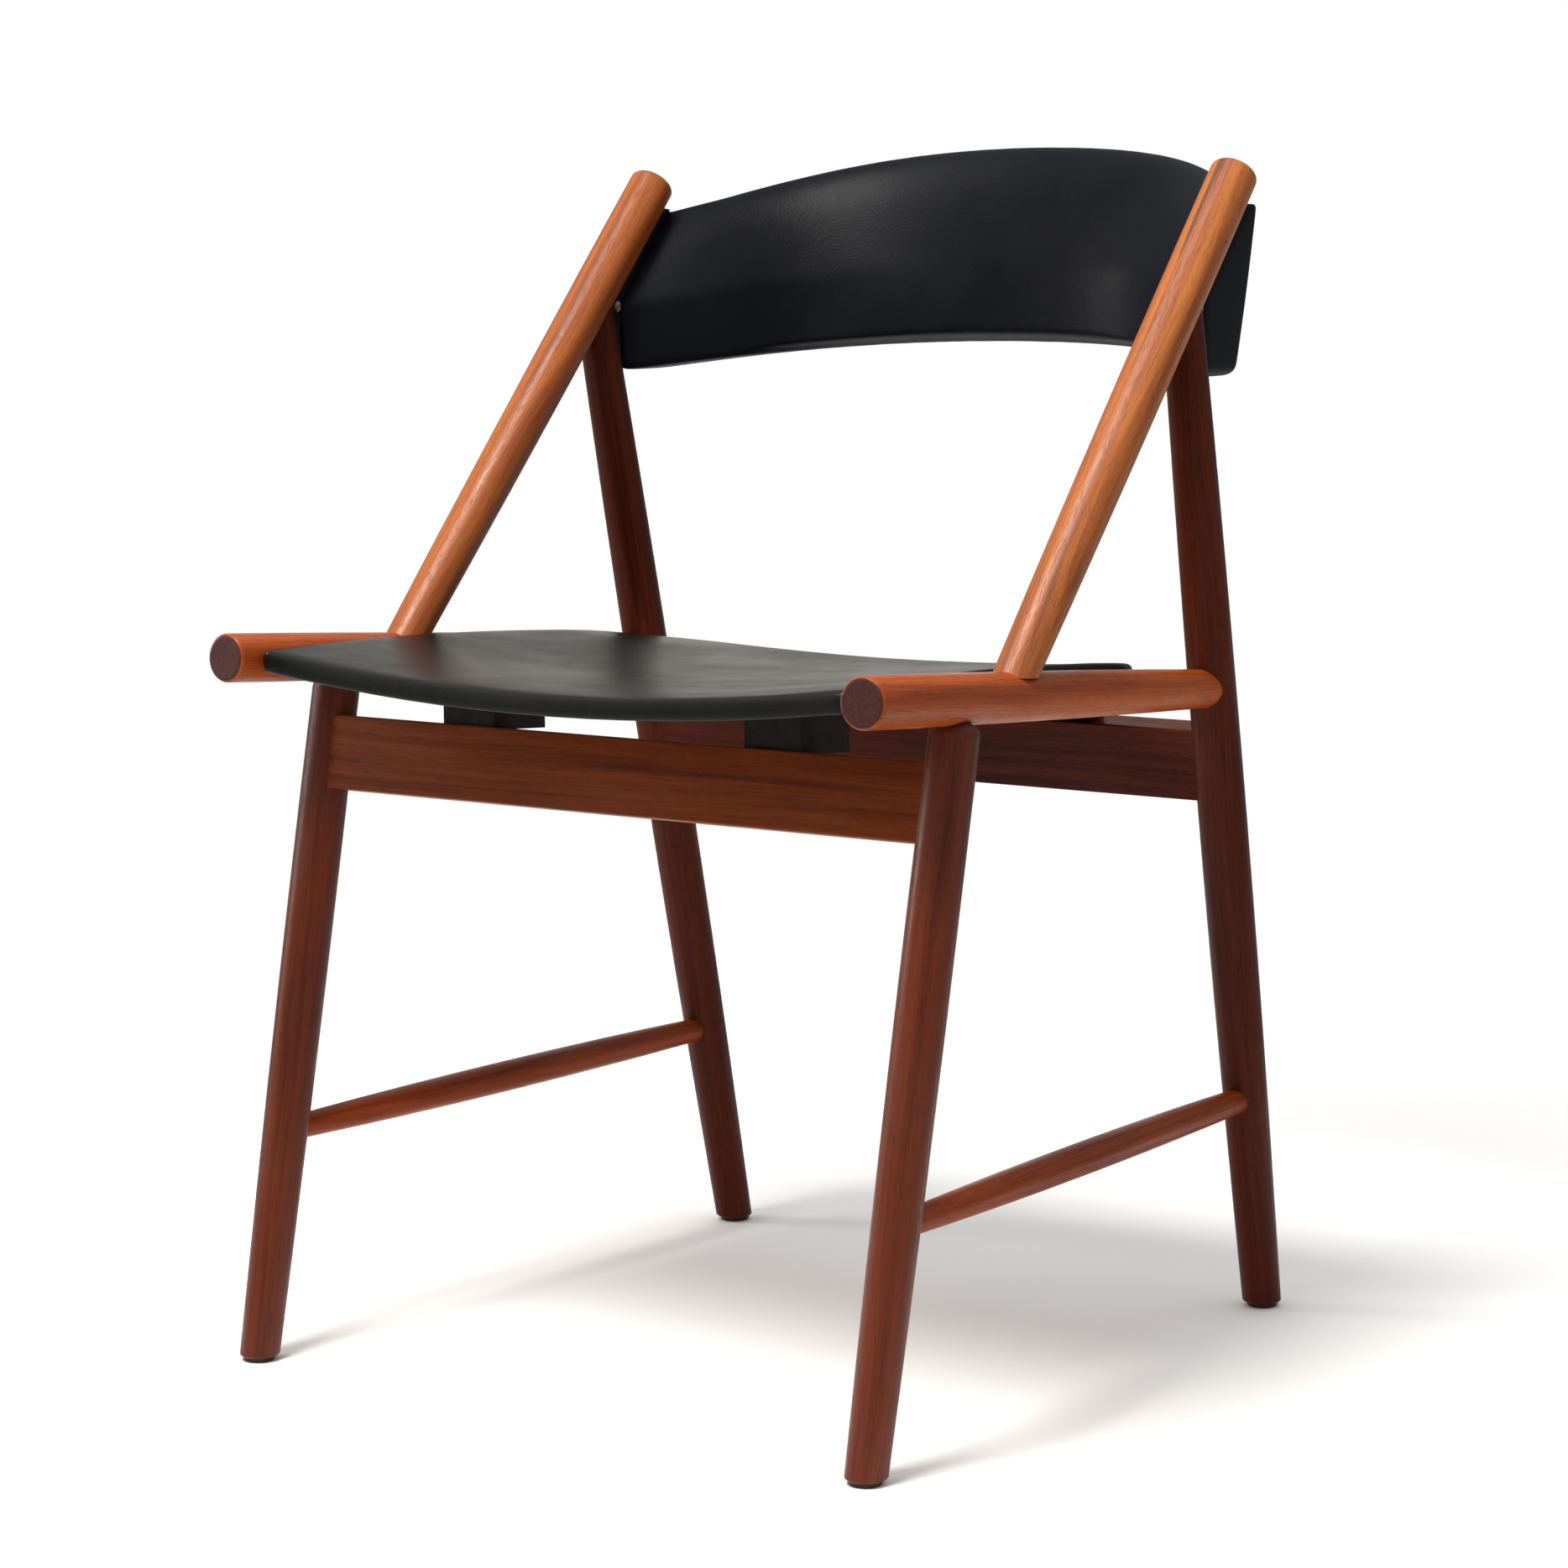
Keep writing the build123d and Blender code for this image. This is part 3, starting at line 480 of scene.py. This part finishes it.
# ---- Seat ----
class Surface:
    """Places on the faces of CAD nodes, found by casting rays at their meshes.

    It gives the height of the top and the underside, the depth of the front and the rear, and
    the highest and the lowest point across the depth at x."""

    def __init__(self, *node_names):
        shape = bmesh.new()
        for node in node_names:
            shape.from_mesh(nodes[node].data)
        self.tree = BVHTree.FromBMesh(shape)
        self.points = [vertex.co.copy() for vertex in shape.verts]
        shape.free()

    def top(self, x, y):
        return self.tree.ray_cast(Vector((x, y, RAY_START)), Vector((0, 0, -1)))[0].z

    def under(self, x, y):
        return self.tree.ray_cast(Vector((x, y, UNDER_SEAT)), Vector((0, 0, 1)))[0].z

    def front(self, x, z):
        return self.tree.ray_cast(Vector((x, -RAY_START, z)), Vector((0, 1, 0)))[0].y

    def rear(self, x, z):
        return self.tree.ray_cast(Vector((x, RAY_START, z)), Vector((0, -1, 0)))[0].y

    def vertical_hits(self, x, height, direction):
        """Heights where rays up or down meet the mesh, across its depth at x."""
        depths = [point.y for point in self.points]
        first, last = min(depths), max(depths)
        heights = []
        for step in range(1, VERTICAL_RAYS):
            y = first + (last - first) * step / VERTICAL_RAYS
            place = self.tree.ray_cast(Vector((x, y, height)), Vector((0, 0, direction)))[0]
            if place is not None:
                heights.append(place.z)
        return heights

    def highest(self, x):
        return max(self.vertical_hits(x, RAY_START, -1))

    def lowest(self, x):
        return min(self.vertical_hits(x, 0, 1))


def outline_of(points, count):
    """The convex outline of points in plan, resampled evenly, with its outward directions."""
    flat = [point.to_2d() for point in points]
    corners = [flat[index] for index in geometry.convex_hull_2d(flat)]
    sides = [following - corner for corner, following in zip(corners, corners[1:] + corners[:1])]
    total = sum(side.length for side in sides)
    ring = []
    index = 0
    walked = 0.0
    for step in range(count):
        target = total * step / count
        while walked + sides[index].length < target:
            walked += sides[index].length
            index += 1
        ring.append(corners[index] + sides[index].normalized() * (target - walked))
    normals = []
    for step in range(count):
        across = ring[(step + 2) % count] - ring[step - 2]
        normals.append(Vector((across.y, -across.x)).normalized())
    return ring, normals


def seat_lift(spot, inset):
    """The foam's lift and the vinyl's ripple at a spot, a distance in from the edge."""
    fade = smoothstep((SEAT_CROWN_END - inset) / SEAT_CROWN_FADE)
    puff = SEAT_CROWN * smoothstep(inset / SEAT_CROWN_RISE) * (
        SEAT_CROWN_REST + (1 - SEAT_CROWN_REST) * fade)
    across, along = SEAT_RIPPLE_RATE
    place = Vector((spot.x * across, spot.y * along, SEAT_RIPPLE_SLICE))
    return puff, SEAT_RIPPLE * noise.noise(place)


def seat_skin():
    """The seat's vinyl: a scooped top, a rolled edge and a border turned under the board."""
    solid = Surface("seat_cover", "seat_board")
    ring, normals = outline_of(solid.points, SEAT_AROUND)
    centre = sum(ring, Vector((0, 0))) / len(ring)
    shape = bmesh.new()
    levels = []
    for row in range(1, SEAT_RINGS + 1):
        inset = SEAT_ROLL + SEAT_RING_SPREAD * (1 - row / SEAT_RINGS) ** SEAT_RING_POWER
        level = []
        for place, normal in zip(ring, normals):
            if row < SEAT_RINGS:
                reach = (place - centre).length
                share = max(SEAT_HUB, 1 - inset * SEAT_RING_STRETCH / reach)
                spot = centre + (place - centre) * share
            else:
                spot = place - normal * SEAT_ROLL
            puff, ripple = seat_lift(spot, inset)
            level.append(shape.verts.new((*spot, solid.top(*spot) + puff + ripple)))
        levels.append(level)
    hub = shape.verts.new((*centre, solid.top(*centre)))
    inner = [place - normal * SEAT_EDGE_INSET for place, normal in zip(ring, normals)]
    edge_tops = [solid.top(*spot) for spot in inner]
    edge_lows = [solid.under(*spot) for spot in inner]

    def add_level(profile):
        """A ring from (distance inside the outline, height) at each point round the seat."""
        level = []
        for index, (place, normal) in enumerate(zip(ring, normals)):
            inside, height = profile(index)
            level.append(shape.verts.new((*(place - normal * inside), height)))
        levels.append(level)

    for turn in SEAT_ROLL_ANGLES:
        angle = math.radians(turn)
        add_level(lambda index: (SEAT_ROLL * (1 - math.sin(angle)),
                                 edge_tops[index] - SEAT_ROLL * (1 - math.cos(angle))))
    for share in SEAT_BULGE_SHARES:
        bulge = SEAT_BULGE * math.sin(math.pi * share)
        add_level(lambda index: (-bulge, (edge_tops[index] - SEAT_ROLL) * (1 - share)
                                 + (edge_lows[index] + SEAT_LOWER_ROLL) * share))
    for turn in SEAT_LOWER_ANGLES:
        angle = math.radians(turn)
        add_level(lambda index: (SEAT_LOWER_ROLL * (1 - math.cos(angle)),
                                 edge_lows[index] + SEAT_LOWER_ROLL * (1 - math.sin(angle))))
    wander = [SEAT_BORDER_WANDER * noise.noise(Vector(
        (place.x * SEAT_BORDER_RATE, place.y * SEAT_BORDER_RATE, SEAT_BORDER_SLICE)))
        for place in ring]
    for share in SEAT_BORDER_SHARES:
        inside = SEAT_BORDER * share
        cast = min(inside, SEAT_UNDER_REACH)
        add_level(lambda index: (
            inside + wander[index] * share,
            solid.under(*(ring[index] - normals[index] * cast)) - SEAT_BORDER_GAP))
    for first, second in zip(levels, levels[1:]):
        for index in range(SEAT_AROUND):
            following = (index + 1) % SEAT_AROUND
            shape.faces.new((first[index], second[index], second[following], first[following]))
    for index in range(SEAT_AROUND):
        shape.faces.new((hub, levels[0][index], levels[0][(index + 1) % SEAT_AROUND]))
    bmesh.ops.recalc_face_normals(shape, faces=shape.faces)
    mesh = bpy.data.meshes.new("seat_skin")
    shape.to_mesh(mesh)
    shape.free()
    skin = new_piece("seat_skin", mesh, seat_vinyl)
    modify(skin, "SOLIDIFY", thickness=SEAT_SKIN_THICKNESS, offset=-1)
    baked(skin)
    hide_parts("seat_cover")
    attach(skin, "root")


# ---- Back pad ----
def swollen(piece, pressure, limit):
    """Cloth pressure puffs the piece up smoothly, each point no further than its limit."""
    count = len(piece.data.vertices)
    before = np.empty(count * 3)
    piece.data.vertices.foreach_get("co", before)
    before = before.reshape(count, 3)
    cloth = modify(piece, "CLOTH")
    cloth.settings.use_pressure = True
    cloth.settings.uniform_pressure_force = pressure
    cloth.settings.quality = CLOTH_QUALITY
    cloth.settings.mass = CLOTH_MASS
    cloth.settings.effector_weights.gravity = 0
    for frame_number in range(1, CLOTH_FRAMES + 1):
        bpy.context.scene.frame_set(frame_number)
    mesh = baked(piece)
    bpy.context.scene.frame_set(1)
    after = np.empty(count * 3)
    mesh.vertices.foreach_get("co", after)
    normals = np.empty(count * 3)
    mesh.vertices.foreach_get("normal", normals)
    normals = normals.reshape(count, 3)
    most = np.array([limit(place) for place in before])
    outward = np.sum((after.reshape(count, 3) - before) * normals, axis=1)
    move = normals * np.clip(outward, 0, most)[:, None]
    edges = np.empty(len(mesh.edges) * 2, dtype=int)
    mesh.edges.foreach_get("vertices", edges)
    first, second = edges.reshape(-1, 2).T
    neighbours = np.bincount(first, minlength=count) + np.bincount(second, minlength=count)
    for _ in range(SWELL_SMOOTHING):
        total = np.zeros_like(move)
        np.add.at(total, first, move[second])
        np.add.at(total, second, move[first])
        move = 0.5 * move + 0.5 * total / neighbours[:, None]
    mesh.vertices.foreach_set("co", (before + move).ravel())
    mesh.update()


def pad_limit(point):
    """How far the pad's skin may swell: little at its ends, by the legs and posts."""
    end = smoothstep((abs(point[0]) - PAD_END + PAD_EDGE_BLEND) / PAD_EDGE_BLEND)
    return PAD_SWELL + (PAD_END_SWELL - PAD_SWELL) * end


def rounding(distance, height, deep):
    """How deep an elliptical edge lies below its face, at a distance from its end."""
    share = min(1.0, max(0.0, distance / height))
    return deep * (1 - math.sqrt(1 - (1 - share) ** 2))


def carried(cast, x, z, first, last):
    """A face's depth at a height, carried on straight past the last heights that rays can see."""
    seen = min(max(z, first), last)
    depth = cast(x, seen)
    if seen != z:
        inward = math.copysign(PAD_SLOPE_STEP, seen - z)
        depth += (cast(x, seen + inward) - depth) / inward * (z - seen)
    return depth


def pad_section(solid, x):
    """The pad's rounded section as a loop of (y, z): up its front and down its rear."""
    low, high = solid.lowest(x), solid.highest(x)
    tall = high - low
    top_deep, top_tall = PAD_TOP_ROUNDING
    bared = smoothstep((PAD_CURVE_END - abs(x)) / PAD_EDGE_BLEND)   # clear of the flanges
    top_deep *= PAD_END_ROUNDING + (1 - PAD_END_ROUNDING) * bared
    edge = PAD_RISES[-1]
    middle = [edge + (tall - 2 * edge) * step / PAD_MIDDLE_STEPS
              for step in range(1, PAD_MIDDLE_STEPS)]
    rises = [*PAD_RISES, *middle, *(tall - rise for rise in reversed(PAD_RISES))]
    front, rear = [], []
    for rise in rises:
        z = low + rise
        share = rise / tall
        near = carried(solid.front, x, z, low + PAD_FRONT_EDGE, high - PAD_FRONT_EDGE)
        far = carried(solid.rear, x, z, low + PAD_REAR_EDGE, high - PAD_REAR_EDGE)
        thick = far - near
        inset = rounding(tall - rise, top_tall, top_deep)
        inset += rounding(rise, PAD_LOW_ROUNDING[1], PAD_LOW_ROUNDING[0])
        near += min(inset, PAD_FRONT_SHARE * thick)
        near -= PAD_CROWN * (1 - (2 * share - 1) ** 2) * bared
        inset = rounding(tall - rise, PAD_REAR_ROUNDING, PAD_REAR_ROUNDING)
        inset += rounding(rise, PAD_REAR_ROUNDING, PAD_REAR_ROUNDING)
        far -= min(inset, PAD_REAR_SHARE * thick)
        front.append((near, z))
        rear.append((far, z))
    return front + rear[::-1]


def pad_form():
    """The closed form of the back pad, and the indices of the loop along its rear edge."""
    solid = Surface("backrest_cover", "backrest_foam", "backrest_board", "backrest_rear_cover")
    half = max(point.x for point in solid.points)
    curve = [PAD_CURVE_END * (2 * step / PAD_STEPS - 1) for step in range(PAD_STEPS + 1)]
    curve = [x for x in curve if abs(x) < half - PAD_TIPS[0] - PAD_TIP_GAP]
    tips = [half - gap for gap in PAD_TIPS]
    stations = [-tip for tip in reversed(tips)] + curve + tips
    shape = bmesh.new()
    loops = []
    for x in stations:
        section = pad_section(solid, math.copysign(min(abs(x), half - PAD_LAST_SECTION), x))
        low, high = section[0][1], section[len(section) // 2 - 1][1]
        gap = half - abs(x)
        drawn = rounding(gap, PAD_TIP_ROUNDING, PAD_TIP_ROUNDING)
        lifted = rounding(gap, PAD_LOW_CORNER[0], PAD_LOW_CORNER[1])
        lowered = rounding(gap, PAD_TOP_CORNER[0], PAD_TOP_CORNER[1])
        loop = []
        for (y, z), (opposite, _) in zip(section, reversed(section)):
            share = (z - low) / (high - low)
            across = opposite - y
            inward = math.copysign(min(drawn, PAD_TIP_SHARE * abs(across)), across)
            lift = lifted * (1 - share) - lowered * share
            loop.append(shape.verts.new((x, y + inward, z + lift)))
        loops.append(loop)
    count = len(loops[0])
    for first, second in zip(loops, loops[1:]):
        for index in range(count):
            following = (index + 1) % count
            shape.faces.new((first[index], second[index], second[following], first[following]))
    for loop in (loops[0], loops[-1]):
        for index in range(count // 2 - 1):
            other = count - 1 - index
            shape.faces.new((loop[index], loop[index + 1], loop[other - 1], loop[other]))
    bmesh.ops.recalc_face_normals(shape, faces=shape.faces)
    mesh = bpy.data.meshes.new("back_pad")
    shape.to_mesh(mesh)
    shape.free()
    top_rear, low_rear = count // 2 + PAD_WELT_ROW, count - 1 - PAD_WELT_ROW
    ends = [row for row, x in enumerate(stations) if half - abs(x) > PAD_WELT_INSET]
    first, last = ends[0], ends[-1]
    rim = [row * count + top_rear for row in range(first, last + 1)]
    rim += [last * count + index for index in range(top_rear + 1, low_rear)]
    rim += [row * count + low_rear for row in range(last, first - 1, -1)]
    rim += [first * count + index for index in range(low_rear - 1, top_rear, -1)]
    return mesh, rim


def add_welt(name, points, radius):
    """A thin rolled seam through points, closed on itself."""
    data = bpy.data.curves.new(name, "CURVE")
    data.dimensions = "3D"
    data.bevel_depth = radius
    data.bevel_resolution = 3
    spline = data.splines.new("POLY")
    spline.points.add(len(points) - 1)
    for point, place in zip(spline.points, points):
        point.co = (*place, 1)
    spline.use_cyclic_u = True
    welt = bpy.data.objects.new(name, data)
    bpy.context.collection.objects.link(welt)
    bpy.context.view_layer.update()
    mesh = bpy.data.meshes.new_from_object(welt)
    bpy.data.objects.remove(welt)
    return new_piece(name, mesh, back_vinyl)


def back_pad():
    """The back pad, the seam on its rear and the flange at each of its ends."""
    mesh, rim = pad_form()
    pad = new_piece("back_pad", mesh, back_vinyl)
    swollen(pad, CLOTH_PRESSURE, pad_limit)
    seam = [pad.data.vertices[index].co.copy() for index in rim]
    modify(pad, "SUBSURF", levels=1, render_levels=1)
    baked(pad)
    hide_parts("backrest_cover", "backrest_foam", "backrest_board", "backrest_rear_cover")
    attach(pad, "root")
    welt = add_welt("pad_welt", seam, WELT_RADIUS)
    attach(welt, "root")
    for side in ("left", "right"):
        node = f"backrest_flange_{side}"
        flange = copied(f"pad_flange_{side}", node, back_vinyl)
        modify(flange, "REMESH", mode="VOXEL", voxel_size=FLANGE_VOXEL)
        modify(flange, "SMOOTH", factor=0.5, iterations=FLANGE_SMOOTHING)
        baked(flange)
        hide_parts(node)
        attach(flange, "root")


seat_skin()
back_pad()

# ---- Camera, light and floor ----
def add_camera():
    data = bpy.data.cameras.new("camera")
    data.lens = CAMERA_LENS
    data.sensor_width = 36
    data.shift_x, data.shift_y = CAMERA_SHIFT
    camera = bpy.data.objects.new("camera", data)
    camera.location = CAMERA_PLACE
    camera.rotation_euler = [math.radians(angle) for angle in CAMERA_TURN]
    bpy.context.collection.objects.link(camera)
    bpy.context.scene.camera = camera


def add_light(name, place, target, size, power, colour):
    data = bpy.data.lights.new(name, "AREA")
    data.shape = "DISK"
    data.size = size
    data.energy = power
    data.color = colour
    light = bpy.data.objects.new(name, data)
    light.location = place
    aim = Vector(target) - Vector(place)
    light.rotation_euler = aim.to_track_quat("-Z", "Y").to_euler()
    light.visible_camera = False
    bpy.context.collection.objects.link(light)


def add_floor():
    """A pale floor that takes soft shadows near the chair and fades to white around it."""
    mesh = bpy.data.meshes.new("floor")
    shape = bmesh.new()
    bmesh.ops.create_circle(shape, cap_ends=True, segments=FLOOR_SIDES, radius=FLOOR_RADIUS)
    shape.to_mesh(mesh)
    shape.free()
    floor = bpy.data.objects.new("floor", mesh)
    bpy.context.collection.objects.link(floor)
    graph = Graph("floor_paint")
    length = graph.node("ShaderNodeVectorMath", operation="LENGTH")
    graph.link(graph.place(), length.inputs[0])
    away = graph.step(length.outputs["Value"], *FLOOR_FADE)
    seen = graph.node("ShaderNodeLightPath").outputs["Is Camera Ray"]
    glow = graph.math("MULTIPLY", away, graph.step(seen, 0, 1, FLOOR_BOUNCE, 1.0))
    graph.set(Base_Color=graph.mix(away, (0.92, 0.92, 0.92, 1), (0, 0, 0, 1)), Roughness=0.9,
              Specular_IOR_Level=0.0, Emission_Color=(1, 1, 1, 1), Emission_Strength=glow)
    mesh.materials.append(graph.material)


def set_world(overhead, around):
    """White behind the chair, and a softer light on it, stronger from overhead."""
    world = bpy.data.worlds.new("studio")
    world.use_nodes = True
    tree = world.node_tree
    direction = tree.nodes.new("ShaderNodeTexCoord")
    split = tree.nodes.new("ShaderNodeSeparateXYZ")
    tree.links.new(direction.outputs["Generated"], split.inputs[0])
    height = tree.nodes.new("ShaderNodeMapRange")
    height.interpolation_type = "SMOOTHSTEP"
    tree.links.new(split.outputs["Z"], height.inputs["Value"])
    for socket, number in zip(height.inputs[1:5], (*WORLD_FADE, around, overhead)):
        socket.default_value = number
    lit = tree.nodes["Background"]
    tree.links.new(height.outputs["Result"], lit.inputs["Strength"])
    seen = tree.nodes.new("ShaderNodeBackground")
    for background in (lit, seen):
        background.inputs["Color"].default_value = (1, 1, 1, 1)
    seen.inputs["Strength"].default_value = 1.0
    path = tree.nodes.new("ShaderNodeLightPath")
    both = tree.nodes.new("ShaderNodeMixShader")
    tree.links.new(path.outputs["Is Camera Ray"], both.inputs[0])
    tree.links.new(lit.outputs[0], both.inputs[1])
    tree.links.new(seen.outputs[0], both.inputs[2])
    tree.links.new(both.outputs[0], tree.nodes["World Output"].inputs["Surface"])
    bpy.context.scene.world = world


add_camera()
add_floor()
set_world(WORLD_OVERHEAD, WORLD_AROUND)
for light in LIGHTS:
    add_light(*light)
bpy.context.scene.view_settings.view_transform = "Standard"
